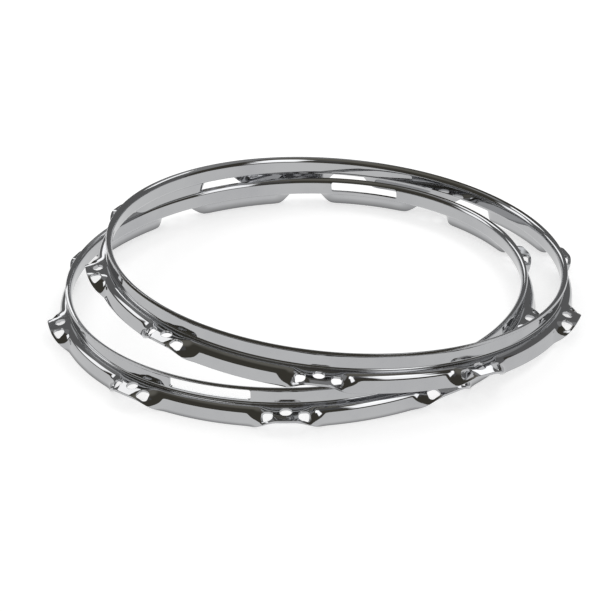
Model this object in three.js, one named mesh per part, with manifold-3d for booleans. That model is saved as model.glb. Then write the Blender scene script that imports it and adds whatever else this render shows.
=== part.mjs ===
// Two pressed steel drum hoops, one lying flat and one leaning on it.
//
// Each hoop is rolled from one strip of sheet steel and flanged three times: the top edge turns
// outward, a ledge steps out under the wall, and a skirt hangs from the ledge. At each ear the skirt
// swings up until it carries on from the ledge as a lug, with a hole for a tension rod. The lower
// hoop is the snare side one, with two gates cut through its wall.
//
// Lengths are millimetres and angles are degrees. Z is up and the lower hoop stands on Z = 0.

import * as THREE from 'three';
import { mergeVertices } from 'three/addons/utils/BufferGeometryUtils.js';
import Module from 'manifold-3d';

// Strip and wall
const wallInnerRadius = 179;
const sheetThickness = 2.3;
const hoopHeight = 27.4;
const topBendRadius = 1.8;

// Ledge and skirt
const ledgeHeight = 14.7;
const rootBendRadius = 2.8;
const shoulderRadius = 3.9;
const skirtAngle = 80.7;

// Ears
const earCount = 10;
const earReach = 14.7;
const earDroop = 11.9;
const earFlatHalfWidth = 2.7;
const earFlareLength = 28.7;

// Holes
const rodHoleReach = 6.8;
const rodHoleRadius = 4.3;
const sideHoleOffset = 11.9;
const sideHoleReach = 10.4;
const sideHoleWidth = 6.8;
const sideHoleHeight = 7.2;
const sideHoleCornerRadius = 2.4;

// Snare gates
const gateWidth = 63.5;
const gateSill = 0.6;
const gateHead = 1.5;
const gateCornerRadius = 1.8;

// How the two hoops lie
const lowerEarBearing = 15.2;
const upperEarBearing = 12.5;
const upperShiftAcross = 31.1;
const upperShiftBack = 6.4;
const leanBearing = 100.6;
const steepestLean = 20;
const restingGap = 0.3;

// How finely the surfaces are faceted
const bendSteps = 2;
const cornerSteps = 1;
const rodHoleSides = 14;
const flareStationShares = [0, 0.18, 0.36, 0.6, 1];
const flareLimitShare = 0.8;
const plainStations = 2;
const leanSteps = 13;
const cutOverrun = 3;

const degree = Math.PI / 180;
const turn = 360 * degree;
const wallOuterRadius = wallInnerRadius + sheetThickness;
const crestRadius = wallOuterRadius + rootBendRadius;
const rodCircleRadius = crestRadius + rodHoleReach;
const shoulderHeight = ledgeHeight - shoulderRadius;
const skirtDrop = shoulderHeight + shoulderRadius * Math.cos(skirtAngle * degree);
const skirtLength = skirtDrop / Math.sin(skirtAngle * degree);
const skirtReach = shoulderRadius * skirtAngle * degree + skirtLength;
const pitchLength = (turn * rodCircleRadius) / earCount;

const wasm = await Module();
wasm.setup();

// How far the skirt has swung down from an ear, from 0 to 1. Distances along the rim are measured
// on the rod circle from the middle of the ear.
function swingShare(along) {
  const flareEnd = earFlatHalfWidth + earFlareLength;
  return THREE.MathUtils.smoothstep(Math.abs(along), earFlatHalfWidth, flareEnd);
}

// The skirt's angle below level.
function swingAngle(along) {
  return THREE.MathUtils.lerp(earDroop, skirtAngle, swingShare(along)) * degree;
}

// How far the strip reaches from the crest of the ledge to its lower edge, on its outer face.
function stripReach(along) {
  return THREE.MathUtils.lerp(earReach, skirtReach, swingShare(along));
}

// A point of the outer face in section, with the heading in which the face runs on toward the
// skirt's edge.
function sectionPoint(radius, height, heading) {
  return { radius, height, heading };
}

// The outer face beyond the crest: bent round the shoulder, then straight.
function skirtPoint(along, reach) {
  const angle = swingAngle(along);
  const turned = Math.min(reach / shoulderRadius, angle);
  const straight = reach - shoulderRadius * turned;
  const radius = crestRadius + shoulderRadius * Math.sin(turned) + straight * Math.cos(turned);
  const height = shoulderHeight + shoulderRadius * Math.cos(turned) - straight * Math.sin(turned);
  return sectionPoint(radius, height, -turned);
}

// A quarter bend that the face goes round from one angle to another, seen from the bend's centre.
function quarterBend(centreRadius, centreHeight, radius, fromAngle) {
  const points = [];
  for (let i = 0; i <= bendSteps; i += 1) {
    const angle = (fromAngle + (90 * i) / bendSteps) * degree;
    const across = centreRadius + radius * Math.cos(angle);
    const up = centreHeight + radius * Math.sin(angle);
    points.push(sectionPoint(across, up, angle + 90 * degree));
  }
  return points;
}

// The outer face of the strip in section, from the lip's edge down to the skirt's edge.
function outerSection(along) {
  const lipHeight = hoopHeight - sheetThickness;
  const topBendCentre = lipHeight - topBendRadius;
  const topBend = quarterBend(wallOuterRadius + topBendRadius, topBendCentre, topBendRadius, 90);
  const rootBend = quarterBend(crestRadius, ledgeHeight + rootBendRadius, rootBendRadius, 180);
  const skirt = [];
  for (let i = 1; i <= bendSteps; i += 1) {
    skirt.push(skirtPoint(along, (shoulderRadius * swingAngle(along) * i) / bendSteps));
  }
  skirt.push(skirtPoint(along, stripReach(along)));
  return [...topBend, ...rootBend, ...skirt];
}

function radialPoint(radius, height, bearing) {
  return new THREE.Vector3(radius * Math.cos(bearing), radius * Math.sin(bearing), height);
}

// Distances along the rim at which the strip is drawn, over one pitch centred on an ear.
function stationOffsets() {
  const halfPitch = pitchLength / 2;
  const flareEnd = Math.min(earFlatHalfWidth + earFlareLength, halfPitch * flareLimitShare);
  const offsets = flareStationShares.map((share) => share * flareEnd);
  for (let i = 1; i <= plainStations; i += 1) {
    offsets.push(THREE.MathUtils.lerp(flareEnd, halfPitch, i / plainStations));
  }
  const before = offsets.slice(1, -1).reverse().map((offset) => -offset);
  return [...before, ...offsets];
}

// Each station is a bearing and its distance along the rim from the nearest ear.
function ringStations(earBearing) {
  const offsets = stationOffsets();
  const stations = [];
  for (let ear = 0; ear < earCount; ear += 1) {
    const earMiddle = earBearing * degree + (turn * ear) / earCount;
    offsets.forEach((along) => {
      stations.push({ along, bearing: earMiddle + along / rodCircleRadius });
    });
  }
  return stations;
}

// Unit normals of the outer face, from its heading in section and its neighbours along the rim.
function faceNormals(stations, sections, grid) {
  const count = grid.length;
  return grid.map((row, i) => row.map((point, j) => {
    const before = grid[(i + count - 1) % count][j];
    const around = new THREE.Vector3().subVectors(grid[(i + 1) % count][j], before);
    const { heading } = sections[i][j];
    const onward = radialPoint(Math.cos(heading), Math.sin(heading), stations[i].bearing);
    return around.cross(onward).negate().normalize();
  }));
}

// The inner face lies one sheet thickness behind the outer face and stops level with the foot.
function innerRow(row, normals) {
  const inner = row.map((point, j) => point.clone().addScaledVector(normals[j], -sheetThickness));
  const edge = inner[inner.length - 1];
  if (edge.z < 0) {
    const climb = new THREE.Vector3().subVectors(inner[inner.length - 2], edge);
    edge.addScaledVector(climb, -edge.z / climb.z);
  }
  return inner;
}

// A closed body from rings of points, where each ring is a closed section and the last joins the
// first.
function closedLoft(rings) {
  const perRing = rings[0].length;
  const positions = rings.flat().flatMap((point) => point.toArray());
  const indices = [];
  rings.forEach((ring, i) => {
    const here = i * perRing;
    const next = ((i + 1) % rings.length) * perRing;
    ring.forEach((point, j) => {
      const k = (j + 1) % perRing;
      indices.push(here + j, here + k, next + k, here + j, next + k, next + j);
    });
  });
  const geometry = new THREE.BufferGeometry();
  geometry.setAttribute('position', new THREE.Float32BufferAttribute(positions, 3));
  geometry.setIndex(indices);
  return geometry;
}

// The whole strip of one hoop, before any hole is cut.
function stripGeometry(earBearing) {
  const stations = ringStations(earBearing);
  const sections = stations.map(({ along }) => outerSection(along));
  const grid = sections.map((section, i) => section.map(
    ({ radius, height }) => radialPoint(radius, height, stations[i].bearing),
  ));
  const normals = faceNormals(stations, sections, grid);
  return closedLoft(grid.map((row, i) => [...row, ...innerRow(row, normals[i]).reverse()]));
}

function toSolid(geometry) {
  geometry.deleteAttribute('normal');
  geometry.deleteAttribute('uv');
  const merged = mergeVertices(geometry);
  return new wasm.Manifold(new wasm.Mesh({
    numProp: 3,
    vertProperties: merged.attributes.position.array,
    triVerts: new Uint32Array(merged.index.array),
  }));
}

// A vertical cylinder through the flat of an ear.
function rodHoleCutter(bearing) {
  const middle = skirtPoint(0, rodHoleReach).height - sheetThickness / 2;
  const length = 2 * (sheetThickness + cutOverrun);
  const geometry = new THREE.CylinderGeometry(rodHoleRadius, rodHoleRadius, length, rodHoleSides);
  geometry.rotateX(90 * degree);
  const centre = radialPoint(rodCircleRadius, middle, bearing);
  geometry.translate(centre.x, centre.y, centre.z);
  return toSolid(geometry);
}

// A rounded rectangle pulled along Z, centred on the origin.
function roundedBlock(width, height, cornerRadius, depth) {
  const corner = Math.min(cornerRadius, width / 2, height / 2);
  const right = width / 2 - corner;
  const top = height / 2 - corner;
  const outline = new THREE.Shape();
  outline.absarc(right, top, corner, 0, 90 * degree);
  outline.absarc(-right, top, corner, 90 * degree, 180 * degree);
  outline.absarc(-right, -top, corner, 180 * degree, 270 * degree);
  outline.absarc(right, -top, corner, 270 * degree, turn);
  const options = { depth, bevelEnabled: false, curveSegments: cornerSteps };
  const geometry = new THREE.ExtrudeGeometry(outline, options);
  geometry.translate(0, 0, -depth / 2);
  return geometry;
}

// A cutter square to the wing beside an ear. The side is 1 or -1.
function sideHoleCutter(earMiddle, side) {
  const wingPoint = (along, reach) => {
    const { radius, height } = skirtPoint(along, reach);
    return radialPoint(radius, height, earMiddle + along / rodCircleRadius);
  };
  const along = side * sideHoleOffset;
  const centre = wingPoint(along, sideHoleReach);
  const outward = wingPoint(along, sideHoleReach + sheetThickness).sub(centre).normalize();
  const beside = wingPoint(along + sheetThickness, sideHoleReach);
  const square = beside.sub(centre).cross(outward).normalize();
  const sideways = new THREE.Vector3().crossVectors(outward, square);
  const depth = 2 * (sheetThickness + cutOverrun);
  const geometry = roundedBlock(sideHoleWidth, sideHoleHeight, sideHoleCornerRadius, depth);
  const place = new THREE.Matrix4().makeBasis(sideways.negate(), outward, square);
  geometry.applyMatrix4(place.setPosition(centre));
  return toSolid(geometry);
}

// A long slot through the wall, from just over the ledge to where the top bend starts.
function gateCutter(bearing) {
  const sill = ledgeHeight + gateSill;
  const head = hoopHeight - sheetThickness - gateHead;
  const wallDip = wallInnerRadius - Math.sqrt(wallInnerRadius ** 2 - (gateWidth / 2) ** 2);
  const depth = wallDip + sheetThickness + 2 * cutOverrun;
  const geometry = roundedBlock(gateWidth, head - sill, gateCornerRadius, depth);
  geometry.rotateX(90 * degree);
  geometry.translate(0, wallOuterRadius + cutOverrun - depth / 2, (head + sill) / 2);
  geometry.rotateZ(bearing - 90 * degree);
  return toSolid(geometry);
}

// One hoop lying flat, with a hole for each rod, two holes beside each ear and any gates.
function hoopSolid(earBearing, gateBearings) {
  let solid = toSolid(stripGeometry(earBearing));
  for (let ear = 0; ear < earCount; ear += 1) {
    const earMiddle = earBearing * degree + (turn * ear) / earCount;
    solid = solid.subtract(rodHoleCutter(earMiddle));
    solid = solid.subtract(sideHoleCutter(earMiddle, 1));
    solid = solid.subtract(sideHoleCutter(earMiddle, -1));
  }
  gateBearings.forEach((bearing) => {
    solid = solid.subtract(gateCutter(bearing));
  });
  return solid;
}

// The hoop tipped by an angle, moved to its place and set down on Z = 0.
function setDown(solid, lean) {
  const axis = radialPoint(1, 0, leanBearing * degree);
  const matrix = new THREE.Matrix4().makeRotationAxis(axis, lean * degree);
  const tipped = solid.transform(matrix.elements);
  return tipped.translate([upperShiftAcross, upperShiftBack, -tipped.boundingBox().min[2]]);
}

// The hoop at the smallest lean that keeps it clear of the one that it rests on.
function leanOn(solid, support) {
  let tooLow = 0;
  let clear = steepestLean;
  for (let i = 0; i < leanSteps; i += 1) {
    const lean = (tooLow + clear) / 2;
    if (setDown(solid, lean).minGap(support, 2 * restingGap) < restingGap) {
      tooLow = lean;
    } else {
      clear = lean;
    }
  }
  return setDown(solid, clear);
}

function toMesh(solid, name) {
  const { vertProperties, triVerts } = solid.getMesh();
  const geometry = new THREE.BufferGeometry();
  geometry.setAttribute('position', new THREE.BufferAttribute(vertProperties, 3));
  geometry.setIndex(new THREE.BufferAttribute(triVerts, 1));
  geometry.computeVertexNormals();
  const chrome = new THREE.MeshStandardMaterial({ color: 0xb9bbbe, roughness: 0.08, metalness: 1 });
  const mesh = new THREE.Mesh(geometry, chrome);
  mesh.name = name;
  return mesh;
}

// The gates face each other, each midway between two ears.
const gateBearing = lowerEarBearing * degree + (1.5 * turn) / earCount;
const lowerHoop = hoopSolid(lowerEarBearing, [gateBearing, gateBearing + turn / 2]);
const upperHoop = leanOn(hoopSolid(upperEarBearing, []), lowerHoop);

const pair = new THREE.Group();
pair.add(toMesh(lowerHoop, 'snare_side_hoop'), toMesh(upperHoop, 'batter_hoop'));

// The middle of the pair's footprint goes to the origin.
const middle = new THREE.Box3().setFromObject(pair).getCenter(new THREE.Vector3());
pair.children.forEach((mesh) => mesh.geometry.translate(-middle.x, -middle.y, 0));

export default pair;
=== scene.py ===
"""A pair of chromed drum hoops: one lies flat, the other leans on it."""
import math

import bpy
from mathutils import Matrix, Vector


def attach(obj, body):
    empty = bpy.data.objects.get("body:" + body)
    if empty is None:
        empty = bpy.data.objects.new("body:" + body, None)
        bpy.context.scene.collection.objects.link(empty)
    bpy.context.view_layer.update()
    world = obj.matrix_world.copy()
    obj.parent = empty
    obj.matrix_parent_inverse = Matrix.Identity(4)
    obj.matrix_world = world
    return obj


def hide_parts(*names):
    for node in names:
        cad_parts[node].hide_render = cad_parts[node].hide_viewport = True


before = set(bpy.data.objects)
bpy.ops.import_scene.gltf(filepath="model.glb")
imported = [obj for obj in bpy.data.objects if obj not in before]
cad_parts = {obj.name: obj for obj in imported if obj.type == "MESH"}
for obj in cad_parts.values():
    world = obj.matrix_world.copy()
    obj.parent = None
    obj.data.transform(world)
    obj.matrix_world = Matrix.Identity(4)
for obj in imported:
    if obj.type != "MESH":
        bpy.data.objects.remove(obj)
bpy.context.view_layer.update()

# Lengths are in metres and angles in radians, unless a comment says otherwise.
MM = 0.001
TINY = 1e-6

# The section of the pressing, from the top down.
HEIGHT = 27.4 * MM
SHEET = 2.3 * MM
LIP = 1.3 * MM
TOP_BEND = 2.2 * MM
TOP_TURN = math.radians(74)
WALL_INNER_RADIUS = 179 * MM
WALL_SPREAD = 0.9 * MM
ROOT_BEND = 1.5 * MM
LEDGE_HEIGHT = 13.8 * MM
LEDGE_FLAT = 0.6 * MM
SHOULDER = 5.4 * MM
SKIRT_ANGLE = math.radians(80.7)

# The ears, and the wings where the skirt swings up into them.
EARS = 10
EAR_REACH = 16.3 * MM
EAR_DROOP = math.radians(9.5)
EAR_FLAT = 4.5 * MM
EAR_FLARE = 27.5 * MM
WING_SLANT = 0.8
WING_FROM = 10 * MM
WING_START = 16 * MM

# The punched holes and the gates. A block is half the size of the patch of faces that a hole is
# punched from. The side holes are most likely a misreading of reflections.
ROD_CIRCLE = 190.9 * MM
ROD_HOLE = (8.6 * MM, 7.6 * MM)
ROD_BLOCK = (5.6 * MM, 5.3 * MM)
SIDE_HOLE_OFFSET = 12.9 * MM
SIDE_HOLE_REACH = 10.6 * MM
SIDE_HOLE = (8.2 * MM, 8.2 * MM)
SIDE_HOLE_CORNER = 2.8 * MM
SIDE_BLOCK = (5.4 * MM, 5.1 * MM)
GATE_WIDTH = 66.0 * MM
GATE_SILL = 16.1 * MM
GATE_TOP = 23.4 * MM
GATE_ASIDE = 0.6 * MM
GATE_CORNER = 1.8 * MM
GATE_MARGIN = (1.3 * MM, 1.1 * MM)
GATE_AFTER_EARS = (1, 6)
EDGE_ROUND = 0.6 * MM
EDGE_SEGMENTS = 3
EDGE_ANGLE = math.radians(50)

# How finely the blank is divided.
FOLD_STEP = 0.4 * MM
FINE_STEP = 1.0 * MM
FINE_COLUMNS = 35
COARSE_COLUMNS = 8
TOP_ROWS = 6
WALL_ROWS = 5
ROOT_ROWS = 5
SKIRT_ROWS = 16
INSET = 0.05 * MM

# What follows from these sizes. A reach is measured down the flat strip from the crest.
WALL_RADIUS = WALL_INNER_RADIUS + SHEET
CREST = WALL_RADIUS + WALL_SPREAD + ROOT_BEND + LEDGE_FLAT
PITCH = 2 * math.pi * ROD_CIRCLE / EARS
WALL_TOP = (HEIGHT - LIP * math.cos(TOP_TURN) - TOP_BEND * math.sin(TOP_TURN)
            - SHEET * math.sin(TOP_TURN))
WALL_FOOT = LEDGE_HEIGHT + ROOT_BEND
ROOT_ARC = ROOT_BEND * math.pi / 2
TOP_ARC = TOP_BEND * TOP_TURN
STRIP_TOP = -(LEDGE_FLAT + ROOT_ARC + (WALL_TOP - WALL_FOOT) + TOP_ARC + LIP)
SKIRT_STRAIGHT = ((LEDGE_HEIGHT - SHOULDER + SHOULDER * math.cos(SKIRT_ANGLE))
                  / math.sin(SKIRT_ANGLE))
SKIRT_REACH = SHOULDER * SKIRT_ANGLE + SKIRT_STRAIGHT
ROD_HOLE_REACH = SHOULDER * EAR_DROOP + (
    (ROD_CIRCLE - CREST - SHOULDER * math.sin(EAR_DROOP)) / math.cos(EAR_DROOP))

# Where the hoops lie, from the same values as the solids.
MIDDLE = Vector((16.303383 * MM, 3.081711 * MM, 0))
LOWER_BEARING = math.radians(15.2)
UPPER_BEARING = math.radians(12.5)
LEAN_BEARING = math.radians(100.6)
LEAN = math.radians(5.849609)
UPPER_PLACE = Vector((31.1 * MM, 6.4 * MM, 19.179487 * MM))

# The plating. Each finish has its haze, its grain and the strength of its bump.
POLISH_ROUGHNESS = 0.03
CLEAR_TINT = (0.555, 0.56, 0.57)
HAZY_TINT = (0.50, 0.505, 0.52)
RIPPLE_DEPTH = 0.4 * MM
FACE_FINISH = (0.05, 0.01, 0.12)
EDGE_FINISH = (0.20, 0.15, 0.25)

# Soft panels of the room, as the metal shows them: name, bearing and its half width, height above
# the table and its half width in degrees, and level. A bearing of 0 is behind the hoops.
PANELS = (
    ('back_of_room', 15, 78, 12, 26, 0.155),
    ('back_right_high', 50, 45, 44, 9, 0.30),
    ('back_left_high', -48, 22, 44, 10, 0.24),
    ('front_right_dim', 165, 14, 45, 16, 0.10),
    ('left_box', -71, 11, 20, 13, 1.6),
    ('right_box', 143, 14, 32, 20, 1.7),
    ('right_box_top', 132, 14, 50, 9, 2.0),
    ('over_right', 50, 42, 56, 8, 0.32),
    ('over_left', -40, 16, 58, 6, 0.40),
)
PANEL_SOFTNESS = 3
ROOM_COLOUR = (0.062, 0.058, 0.047)
CEILING_COLOUR = (0.175, 0.168, 0.145)
CEILING_HALF = 30
CEILING_SOFTNESS = 16

# Lamps: name, bearing and height above the table in degrees, distance, size, level, and whether
# the metal shows the lamp itself.
LAMPS = (
    ('overhead_right_box', 52, 61, 1.5, (1.25, 0.36), 1.9, False),
    ('overhead_left_box', -58, 57, 1.5, (0.90, 0.20), 1.1, False),
    ('back_left_box', -25, 43, 1.2, (0.36, 0.30), 1.5, True),
    ('back_right_box', 36, 42, 1.2, (0.30, 0.26), 1.5, True),
    ('back_box', -17.2, 22.8, 1.136, (0.58, 0.16), 1.5, True),
)
WHITE = (1, 1, 1, 1)
FILL_LEVEL = 0.55

# The table: its own level and glow to the eye, its level in the metal, where it ends there, and
# the painted shade it has in the metal right beside the hoops, where its glow is dimmed.
TABLE_SIZE = 8
TABLE_GAP = 0.2 * MM
FLOOR_COLOUR = (0.72, 0.72, 0.72, 1)
FLOOR_GLOW = 0.58
TABLE_LEVEL = 0.80
TABLE_END = (0.565, 0.58)
PAINTED_SHADE_REACH = 10 * MM
PAINTED_SHADE_LEVEL = 0.35

# The camera, fitted to the ears, rims and gates. Its place is given from the middle of the
# lower hoop.
FOCAL_PIXELS = 1476.573
PICTURE = 612
SENSOR_MM = 36
TILT = 0.4941158
ROLL = -0.03217112
EYE_BACK = 1.1978835
EYE_RIGHT = 0.0075895
EYE_DOWN = 0.0064235
NEAREST_SEEN = 0.05


# ---- the pressing -------------------------------------------------------------------------

def ease(share):
    """A smooth change from 0 to 1."""
    share = min(max(share, 0.0), 1.0)
    return share ** 3 * (share * (6 * share - 15) + 10)


def skirt_angle(along, reach):
    """How far the skirt hangs down; beside an ear the lower part swings up later than the top."""
    lead = WING_SLANT * (reach - WING_FROM) * ease(abs(along) / WING_START)
    share = ease((abs(along) - EAR_FLAT + lead) / EAR_FLARE)
    return EAR_DROOP + (SKIRT_ANGLE - EAR_DROOP) * share


def strip_reach(along):
    """How far down the strip its lower edge is, at a distance along it from the nearest ear."""
    return EAR_REACH + (SKIRT_REACH - EAR_REACH) * ease((abs(along) - EAR_FLAT) / EAR_FLARE)


def fold(along, reach):
    """Radius and height of a point of the flat strip once the strip is folded."""
    if reach >= 0:
        radius, height = CREST, LEDGE_HEIGHT
        steps = math.ceil(reach / FOLD_STEP)
        for i in range(steps):
            place = (i + 0.5) * reach / steps
            angle = min(place / SHOULDER, skirt_angle(along, place))
            radius += math.cos(angle) * reach / steps
            height -= math.sin(angle) * reach / steps
        return radius, height
    if reach >= -LEDGE_FLAT:
        return CREST + reach, LEDGE_HEIGHT
    reach += LEDGE_FLAT
    if reach >= -ROOT_ARC:
        angle = -reach / ROOT_BEND
        return (CREST - LEDGE_FLAT - ROOT_BEND * math.sin(angle),
                WALL_FOOT - ROOT_BEND * math.cos(angle))
    height = WALL_FOOT - ROOT_ARC - reach
    if height <= WALL_TOP:
        return WALL_RADIUS + WALL_SPREAD * (WALL_TOP - height) / (WALL_TOP - WALL_FOOT), height
    angle = min((height - WALL_TOP) / TOP_BEND, TOP_TURN)
    lip = height - WALL_TOP - TOP_BEND * angle
    return (WALL_RADIUS + TOP_BEND * (1 - math.cos(angle)) + lip * math.sin(angle),
            WALL_TOP + TOP_BEND * math.sin(angle) + lip * math.cos(angle))


def nearest_ear(x):
    """The place along the strip of the ear that is closest to x."""
    return round(x / PITCH) * PITCH


def column_places():
    """Places along the strip: close together at the ears, wider between them."""
    half = [FINE_STEP * i for i in range(FINE_COLUMNS + 1)]
    half += [half[-1] + (PITCH / 2 - half[-1]) * i / COARSE_COLUMNS
             for i in range(1, COARSE_COLUMNS + 1)]
    one = [-x for x in reversed(half[1:])] + half[:-1]
    return [ear * PITCH + x for ear in range(EARS) for x in one] + [(EARS - 0.5) * PITCH]


def row_places():
    """Reaches of the rows above the crest, and those below it as shares of the strip's reach."""
    bend_top = STRIP_TOP + LIP
    wall_top = bend_top + TOP_ARC
    lip = [STRIP_TOP]
    top = [bend_top + TOP_ARC * i / TOP_ROWS for i in range(TOP_ROWS)]
    wall = [wall_top + (WALL_TOP - WALL_FOOT) * i / WALL_ROWS for i in range(WALL_ROWS)]
    root = [-LEDGE_FLAT - ROOT_ARC + ROOT_ARC * i / ROOT_ROWS for i in range(ROOT_ROWS + 1)]
    return lip + top + wall + root, [i / SKIRT_ROWS for i in range(SKIRT_ROWS + 1)]


def rounded(dx, dy, half_w, half_h, corner):
    """The point of a rounded rectangle that a point of the sharp one moves to."""
    x, y = abs(dx), abs(dy)
    cx, cy = half_w - corner, half_h - corner
    if x > cx and y > cy:
        length = math.hypot(x - cx, y - cy)
        x, y = cx + (x - cx) * corner / length, cy + (y - cy) * corner / length
    return math.copysign(x, dx), math.copysign(y, dy)


def mode(name):
    bpy.ops.object.mode_set(mode=name)


def choose(obj):
    """Makes an object the only one selected, and the active one."""
    bpy.ops.object.select_all(action='DESELECT')
    bpy.context.view_layer.objects.active = obj
    obj.select_set(True)


def edit(obj, action):
    """Goes into edit mode on an object, with all or nothing of its mesh selected."""
    choose(obj)
    mode('EDIT')
    bpy.ops.mesh.select_all(action=action)


def rim_of(faces):
    """The vertices round the outside of some faces."""
    uses = {}
    for face in faces:
        for key in face.edge_keys:
            uses[key] = uses.get(key, 0) + 1
    return {v for key, n in uses.items() if n == 1 for v in key}


def punch(obj, holes, size, block, corner):
    """Cuts a rounded hole at each centre, with two rings of faces that close in on it."""
    mesh = obj.data
    half_w, half_h = size[0] / 2, size[1] / 2

    def hole_of(p):
        return min(holes, key=lambda c: abs(p.x - c[0]) + abs(p.y - c[1]))

    edit(obj, 'DESELECT')
    bpy.ops.mesh.select_mode(type='FACE')
    mode('OBJECT')
    for face in mesh.polygons:
        c = face.center
        hx, hy = hole_of(c)
        face.select = abs(c.x - hx) < block[0] - TINY and abs(c.y - hy) < block[1] - TINY
    mode('EDIT')
    for share in (0.5, 1.0):
        bpy.ops.mesh.inset(thickness=INSET, use_even_offset=False)
        mode('OBJECT')
        rim = rim_of([f for f in mesh.polygons if f.select])
        boxes = {}
        for v in rim:
            p = mesh.vertices[v].co
            lo, hi = boxes.setdefault(hole_of(p), ([math.inf] * 2, [-math.inf] * 2))
            for k in (0, 1):
                lo[k] = min(lo[k], p[k])
                hi[k] = max(hi[k], p[k])
        for v in rim:
            p = mesh.vertices[v].co
            c = hole_of(p)
            lo, hi = boxes[c]
            dx = (2 * (p.x - lo[0]) / (hi[0] - lo[0]) - 1) * half_w
            dy = (2 * (p.y - lo[1]) / (hi[1] - lo[1]) - 1) * half_h
            x, y = rounded(dx, dy, half_w, half_h, corner)
            p.x += (c[0] + x - p.x) * share
            p.y += (c[1] + y - p.y) * share
        mode('EDIT')
    bpy.ops.mesh.delete(type='FACE')
    bpy.ops.mesh.select_all(action='SELECT')
    bpy.ops.mesh.delete_loose()
    bpy.ops.mesh.select_all(action='DESELECT')
    mode('OBJECT')


def flat_strip(name):
    """The blank: one flat strip, with its lower edge cut back at the ears."""
    xs = column_places()
    above, below = row_places()
    last_col, last_row = len(xs) - 1, len(above) + len(below) - 1
    bpy.ops.object.select_all(action='DESELECT')
    bpy.ops.mesh.primitive_grid_add(x_subdivisions=last_col, y_subdivisions=last_row, size=1)
    strip = bpy.context.active_object
    strip.name = strip.data.name = name
    for v in strip.data.vertices:
        x = xs[round((v.co.x + 0.5) * last_col)]
        row = round((0.5 - v.co.y) * last_row)
        if row < len(above):
            reach = above[row]
        else:
            reach = below[row - len(above)] * strip_reach(x - nearest_ear(x))
        v.co = (x, -reach, 0)
    return strip


def press_hoop(name, bearing, gates):
    """Punches the strip, folds it and rolls it into a ring."""
    hoop = flat_strip(name)
    ears = [ear * PITCH for ear in range(EARS)]
    rods = [(x, -ROD_HOLE_REACH) for x in ears]
    punch(hoop, rods, ROD_HOLE, ROD_BLOCK, ROD_HOLE[1] / 2)
    sides = [(x + side * SIDE_HOLE_OFFSET, -SIDE_HOLE_REACH) for x in ears for side in (-1, 1)]
    punch(hoop, sides, SIDE_HOLE, SIDE_BLOCK, SIDE_HOLE_CORNER)
    if gates:
        sill = LEDGE_FLAT + ROOT_ARC + (GATE_SILL - WALL_FOOT)
        head = LEDGE_FLAT + ROOT_ARC + (GATE_TOP - WALL_FOOT)
        middles = [((n + 0.5) * PITCH + GATE_ASIDE, (sill + head) / 2) for n in GATE_AFTER_EARS]
        size = (GATE_WIDTH, head - sill)
        block = [s / 2 + margin for s, margin in zip(size, GATE_MARGIN)]
        punch(hoop, middles, size, block, GATE_CORNER)
    for v in hoop.data.vertices:
        radius, height = fold(v.co.x - nearest_ear(v.co.x), -v.co.y)
        angle = bearing + v.co.x / ROD_CIRCLE
        v.co = (radius * math.cos(angle), radius * math.sin(angle), height)
    edit(hoop, 'SELECT')
    bpy.ops.mesh.remove_doubles(threshold=TINY)
    bpy.ops.mesh.normals_make_consistent(inside=False)
    mode('OBJECT')
    wall = min(hoop.data.polygons, key=lambda f: abs(f.center.z - (WALL_TOP + WALL_FOOT) / 2))
    if wall.normal.dot(Vector((wall.center.x, wall.center.y, 0))) < 0:
        edit(hoop, 'SELECT')
        bpy.ops.mesh.flip_normals()
        mode('OBJECT')
    return hoop


def apply(obj, kind, **values):
    """Adds a modifier with these values and applies it."""
    mod = obj.modifiers.new(kind.lower(), kind)
    for key, value in values.items():
        setattr(mod, key, value)
    choose(obj)
    bpy.ops.object.modifier_apply(modifier=mod.name)


def finish_hoop(hoop):
    """Gives the sheet its thickness, levels its lowest edges and rounds all its edges."""
    apply(hoop, 'SOLIDIFY', thickness=SHEET, offset=-1, use_even_offset=True, use_rim=True,
          material_offset_rim=1)
    for v in hoop.data.vertices:
        v.co.z = max(v.co.z, 0.0)
    apply(hoop, 'BEVEL', width=EDGE_ROUND, segments=EDGE_SEGMENTS, limit_method='ANGLE',
          angle_limit=EDGE_ANGLE, use_clamp_overlap=True)
    choose(hoop)
    bpy.ops.object.shade_smooth()
    apply(hoop, 'WEIGHTED_NORMAL', keep_sharp=False, weight=60)


# ---- nodes --------------------------------------------------------------------------------

def node(tree, kind, place=(0, 0), **values):
    """A node. Values that begin with in_ are those of its inputs."""
    made = tree.nodes.new(kind)
    made.location = place
    for key, value in values.items():
        if key.startswith('in_'):
            made.inputs[key[3:].replace('_', ' ')].default_value = value
        else:
            setattr(made, key, value)
    return made


def maths(tree, operation, first, second=None, third=None, place=(0, 0)):
    """A Math node; each value is a number or a socket."""
    made = node(tree, 'ShaderNodeMath', place, operation=operation)
    for socket, value in zip(made.inputs, (first, second, third)):
        if isinstance(value, (int, float)):
            socket.default_value = value
        elif value is not None:
            tree.links.new(value, socket)
    return made.outputs[0]


def colour_mix(tree, share, first, second, place):
    """A colour between two others; each of these is a colour or a socket."""
    made = node(tree, 'ShaderNodeMix', place, data_type='RGBA')
    tree.links.new(share, made.inputs['Factor'])
    for key, value in (('A', first), ('B', second)):
        if isinstance(value, tuple):
            made.inputs[key].default_value = (*value, 1)
        else:
            tree.links.new(value, made.inputs[key])
    return made.outputs['Result']


def shader_mix(tree, share, first, second, place):
    """A mix of two shaders."""
    made = node(tree, 'ShaderNodeMixShader', place)
    for socket, value in zip(made.inputs, (share, first, second)):
        tree.links.new(value, socket)
    return made.outputs[0]


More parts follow.
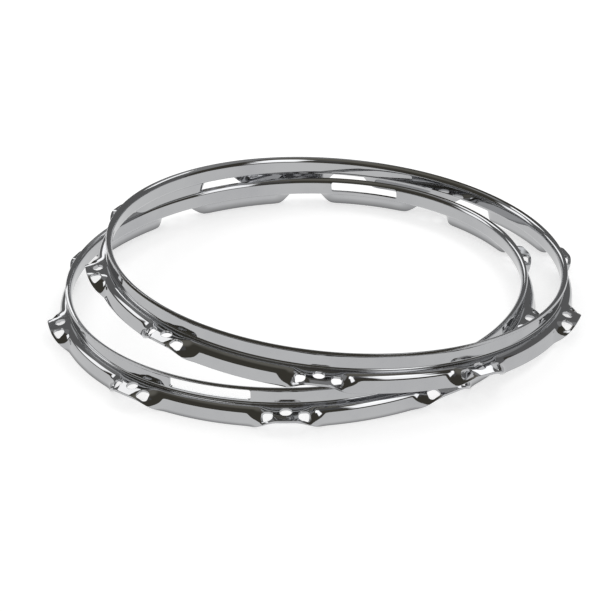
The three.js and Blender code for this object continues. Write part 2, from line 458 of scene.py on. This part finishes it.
def soft_step(tree, value, edge, softness, place):
    """1 below the edge and 0 above it, with a soft change between."""
    made = node(tree, 'ShaderNodeMapRange', place, interpolation_type='SMOOTHSTEP')
    made.inputs['From Min'].default_value = edge + softness
    made.inputs['From Max'].default_value = edge - softness
    tree.links.new(value, made.inputs['Value'])
    return made.outputs['Result']


def new_group(name, **sockets):
    """A node group with its inputs and outputs, as IN or OUT and a type."""
    group = bpy.data.node_groups.new(name, 'ShaderNodeTree')
    for socket, (way, kind) in sockets.items():
        group.interface.new_socket(socket, in_out=way + 'PUT', socket_type='NodeSocket' + kind)
    return group


# ---- finishes -----------------------------------------------------------------------------

def polish_group():
    """A slow ripple of the sheet, a fine grain and faint hazy patches."""
    group = new_group('polished_plate', Haze=('IN', 'Float'), Grain=('IN', 'Float'),
                      Tint=('OUT', 'Color'), Roughness=('OUT', 'Float'), Height=('OUT', 'Float'))
    link = group.links.new
    come = node(group, 'NodeGroupInput', (-900, 0))
    out = node(group, 'NodeGroupOutput', (700, 0))
    where = node(group, 'ShaderNodeTexCoord', (-900, -300))
    ripple = node(group, 'ShaderNodeTexNoise', (-600, -100), in_Scale=38.0, in_Detail=1.0)
    smear = node(group, 'ShaderNodeTexNoise', (-600, -400), in_Scale=16.0, in_Detail=6.0,
                 in_Roughness=0.62)
    grain = node(group, 'ShaderNodeTexNoise', (-600, -700), in_Scale=2600.0, in_Detail=2.0)
    for tex in (ripple, smear, grain):
        link(where.outputs['Object'], tex.inputs['Vector'])
    patches = node(group, 'ShaderNodeMapRange', (-300, -400), in_From_Min=0.45, in_From_Max=0.75)
    link(smear.outputs['Fac'], patches.inputs['Value'])
    patchy = patches.outputs['Result']
    haze = maths(group, 'MULTIPLY', patchy, come.outputs['Haze'], place=(-100, -400))
    link(maths(group, 'ADD', haze, POLISH_ROUGHNESS, place=(100, -400)), out.inputs['Roughness'])
    link(colour_mix(group, patchy, CLEAR_TINT, HAZY_TINT, (100, 200)), out.inputs['Tint'])
    fine = maths(group, 'MULTIPLY', grain.outputs['Fac'], come.outputs['Grain'],
                 place=(-300, -700))
    link(maths(group, 'ADD', ripple.outputs['Fac'], fine, place=(300, -300)),
         out.inputs['Height'])
    return group


def chrome(name, group, finish):
    """Chrome plate with its own haze, grain and bump."""
    haze, grain, bump = finish
    made = bpy.data.materials.new(name)
    made.use_nodes = True
    tree = made.node_tree
    shader = tree.nodes['Principled BSDF']
    shader.inputs['Metallic'].default_value = 1.0
    plate = node(tree, 'ShaderNodeGroup', (-500, 0), node_tree=group, in_Haze=haze,
                 in_Grain=grain)
    lift = node(tree, 'ShaderNodeBump', (-250, -250), in_Strength=bump,
                in_Distance=RIPPLE_DEPTH)
    tree.links.new(plate.outputs['Tint'], shader.inputs['Base Color'])
    tree.links.new(plate.outputs['Roughness'], shader.inputs['Roughness'])
    tree.links.new(plate.outputs['Height'], lift.inputs['Height'])
    tree.links.new(lift.outputs['Normal'], shader.inputs['Normal'])
    return made


# ---- making the pair ----------------------------------------------------------------------

plating = polish_group()
face_chrome = chrome('polished_chrome', plating, FACE_FINISH)
edge_chrome = chrome('chrome_on_cut_edge', plating, EDGE_FINISH)

lean = Matrix.Rotation(LEAN, 4, Vector((math.cos(LEAN_BEARING), math.sin(LEAN_BEARING), 0)))
HOOPS = (
    ('snare_side_hoop', LOWER_BEARING, True, Matrix.Translation(-MIDDLE)),
    ('batter_hoop', UPPER_BEARING, False, Matrix.Translation(UPPER_PLACE - MIDDLE) @ lean),
)
for node_name, bearing, gates, place in HOOPS:
    hoop = press_hoop(node_name + '_pressing', bearing, gates)
    hoop.data.materials.append(face_chrome)
    hoop.data.materials.append(edge_chrome)
    finish_hoop(hoop)
    hoop.data.transform(place)
    hoop.data.update()
    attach(hoop, node_name)
    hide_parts(node_name)


# ---- studio -------------------------------------------------------------------------------

def studio_room():
    """The colour that the room has in each direction."""
    group = new_group('studio_room', Direction=('IN', 'Vector'), Colour=('OUT', 'Color'))
    link = group.links.new
    come = node(group, 'NodeGroupInput', (-1400, 0))
    out = node(group, 'NodeGroupOutput', (1400, 0))
    unit = node(group, 'ShaderNodeVectorMath', (-1200, 0), operation='NORMALIZE')
    link(come.outputs['Direction'], unit.inputs[0])
    split = node(group, 'ShaderNodeSeparateXYZ', (-1000, 0))
    link(unit.outputs[0], split.inputs[0])
    turn = maths(group, 'ARCTAN2', split.outputs['X'], split.outputs['Y'], place=(-800, 100))
    bearing = maths(group, 'DEGREES', turn, place=(-600, 100))
    tilt = maths(group, 'ARCSINE', split.outputs['Z'], place=(-800, -100))
    rise = maths(group, 'DEGREES', tilt, place=(-600, -100))
    level = 0.0
    for i, (name, middle, half, up, half_up, bright) in enumerate(PANELS):
        down = -260 * i
        off = maths(group, 'SUBTRACT', bearing, middle, place=(-400, down))
        turned = maths(group, 'WRAP', off, 180, -180, place=(-250, down))
        aside = maths(group, 'ABSOLUTE', turned, place=(-100, down))
        off = maths(group, 'SUBTRACT', rise, up, place=(-250, down - 120))
        above = maths(group, 'ABSOLUTE', off, place=(-100, down - 120))
        mask = maths(group, 'MULTIPLY', soft_step(group, aside, half, PANEL_SOFTNESS, (50, down)),
                     soft_step(group, above, half_up, PANEL_SOFTNESS, (50, down - 120)),
                     place=(250, down))
        lit = maths(group, 'MULTIPLY', mask, bright, place=(400, down))
        lit.node.label = name
        level = maths(group, 'MAXIMUM', lit, level, place=(600, down))
    from_top = maths(group, 'SUBTRACT', 90, rise, place=(50, 300))
    ceiling = soft_step(group, from_top, CEILING_HALF, CEILING_SOFTNESS, (250, 300))
    panels = node(group, 'ShaderNodeCombineXYZ', (800, 0))
    for axis in panels.inputs:
        link(level, axis)
    most = node(group, 'ShaderNodeVectorMath', (1000, 0), operation='MAXIMUM')
    link(colour_mix(group, ceiling, ROOM_COLOUR, CEILING_COLOUR, (600, 300)), most.inputs[0])
    link(panels.outputs[0], most.inputs[1])
    link(most.outputs[0], out.inputs['Colour'])
    return group


def floor_material(room):
    """White to the eye, with the hoops' shadow; in the metal a pale table that ends in the room,
    with painted shade right beside the hoops.
    """
    made = bpy.data.materials.new('pale_table')
    made.use_nodes = True
    tree = made.node_tree
    tree.nodes.clear()
    link = tree.links.new
    out = node(tree, 'ShaderNodeOutputMaterial', (900, 0))
    paths = node(tree, 'ShaderNodeLightPath', (-700, 400))
    matt = node(tree, 'ShaderNodeBsdfDiffuse', (0, 0), in_Color=FLOOR_COLOUR)
    glow = node(tree, 'ShaderNodeEmission', (0, 200))
    link(maths(tree, 'MULTIPLY', paths.outputs['Is Camera Ray'], FLOOR_GLOW, place=(-300, 300)),
         glow.inputs['Strength'])
    seen = node(tree, 'ShaderNodeAddShader', (300, 100))
    link(matt.outputs[0], seen.inputs[0])
    link(glow.outputs[0], seen.inputs[1])
    where = node(tree, 'ShaderNodeTexCoord', (-900, -300))
    spread = node(tree, 'ShaderNodeVectorMath', (-700, -500), operation='LENGTH')
    link(where.outputs['Object'], spread.inputs[0])
    edge = node(tree, 'ShaderNodeMapRange', (-450, -500), interpolation_type='SMOOTHSTEP',
                in_From_Min=TABLE_END[0], in_From_Max=TABLE_END[1])
    link(spread.outputs['Value'], edge.inputs['Value'])
    beyond = node(tree, 'ShaderNodeGroup', (-450, -250), node_tree=room)
    link(where.outputs['Object'], beyond.inputs['Direction'])
    # Painted shade: rays from the metal that meet the table within a short reach see it glow less,
    # as if shaded beside the hoops.
    close = node(tree, 'ShaderNodeMapRange', (-450, -750), in_From_Max=PAINTED_SHADE_REACH,
                 in_To_Min=PAINTED_SHADE_LEVEL)
    link(paths.outputs['Ray Length'], close.inputs['Value'])
    top = colour_mix(tree, edge.outputs['Result'], (TABLE_LEVEL,) * 3, beyond.outputs['Colour'],
                     (0, -300))
    mirror = node(tree, 'ShaderNodeEmission', (300, -300))
    link(close.outputs['Result'], mirror.inputs['Strength'])
    link(top, mirror.inputs['Color'])
    pick = shader_mix(tree, paths.outputs['Is Glossy Ray'], seen.outputs[0], mirror.outputs[0],
                      (600, 0))
    link(pick, out.inputs['Surface'])
    return made


def studio_world(room):
    """White to the eye, the room to the metal, and an even fill to the rest."""
    world = bpy.data.worlds.new('studio')
    world.use_nodes = True
    tree = world.node_tree
    tree.nodes.clear()
    link = tree.links.new
    out = node(tree, 'ShaderNodeOutputWorld', (900, 0))
    paths = node(tree, 'ShaderNodeLightPath', (-300, 400))
    where = node(tree, 'ShaderNodeTexCoord', (-300, 0))
    seen = node(tree, 'ShaderNodeGroup', (0, 0), node_tree=room)
    link(where.outputs['Generated'], seen.inputs['Direction'])
    metal = node(tree, 'ShaderNodeBackground', (250, 0), in_Strength=1.0)
    link(seen.outputs['Colour'], metal.inputs['Color'])
    white = node(tree, 'ShaderNodeBackground', (250, 200), in_Strength=1.0, in_Color=WHITE)
    fill = node(tree, 'ShaderNodeBackground', (250, -200), in_Strength=FILL_LEVEL,
                in_Color=WHITE)
    first = shader_mix(tree, paths.outputs['Is Glossy Ray'], fill.outputs[0], metal.outputs[0],
                       (500, 0))
    second = shader_mix(tree, paths.outputs['Is Camera Ray'], first, white.outputs[0], (700, 0))
    link(second, out.inputs['Surface'])
    return world


def soft_box(name, bearing, rise, distance, size, level, shown):
    """A lamp of an even level, aimed at the hoops."""
    data = bpy.data.lights.new(name, 'AREA')
    data.shape = 'RECTANGLE'
    data.size, data.size_y = size
    data.energy = level * math.pi * size[0] * size[1]
    lamp = bpy.data.objects.new(name, data)
    bpy.context.scene.collection.objects.link(lamp)
    turn, up = math.radians(bearing), math.radians(rise)
    lamp.location = (distance * math.sin(turn) * math.cos(up),
                     distance * math.cos(turn) * math.cos(up),
                     distance * math.sin(up))
    lamp.rotation_euler = (-lamp.location).to_track_quat('-Z', 'Y').to_euler()
    lamp.visible_glossy = shown


room = studio_room()
bpy.ops.object.select_all(action='DESELECT')
bpy.ops.mesh.primitive_plane_add(size=TABLE_SIZE, location=(0, 0, 0))
table = bpy.context.active_object
table.name = 'table_top'
table.data.transform(Matrix.Translation((0, 0, -TABLE_GAP)))
table.data.materials.append(floor_material(room))
bpy.context.scene.world = studio_world(room)
for lamp_values in LAMPS:
    soft_box(*lamp_values)


# ---- camera -------------------------------------------------------------------------------

ahead = Vector((0, math.cos(TILT), -math.sin(TILT)))
flat_right = Vector((1, 0, 0))
flat_up = flat_right.cross(ahead)
right = math.cos(ROLL) * flat_right + math.sin(ROLL) * flat_up
up = -math.sin(ROLL) * flat_right + math.cos(ROLL) * flat_up
eye = -ahead * EYE_BACK + right * EYE_RIGHT - up * EYE_DOWN - MIDDLE

cam = bpy.data.cameras.new('product_camera')
cam.sensor_width = SENSOR_MM
cam.lens = FOCAL_PIXELS / PICTURE * cam.sensor_width
cam.shift_x = -0.5 / PICTURE
cam.shift_y = 0.5 / PICTURE
cam.clip_start = NEAREST_SEEN
camera = bpy.data.objects.new('product_camera', cam)
bpy.context.scene.collection.objects.link(camera)
axes = Matrix((right, up, -ahead)).transposed().to_4x4()
camera.matrix_world = Matrix.Translation(eye) @ axes
bpy.context.scene.camera = camera
bpy.context.scene.view_settings.view_transform = 'Standard'

bpy.context.view_layer.update()
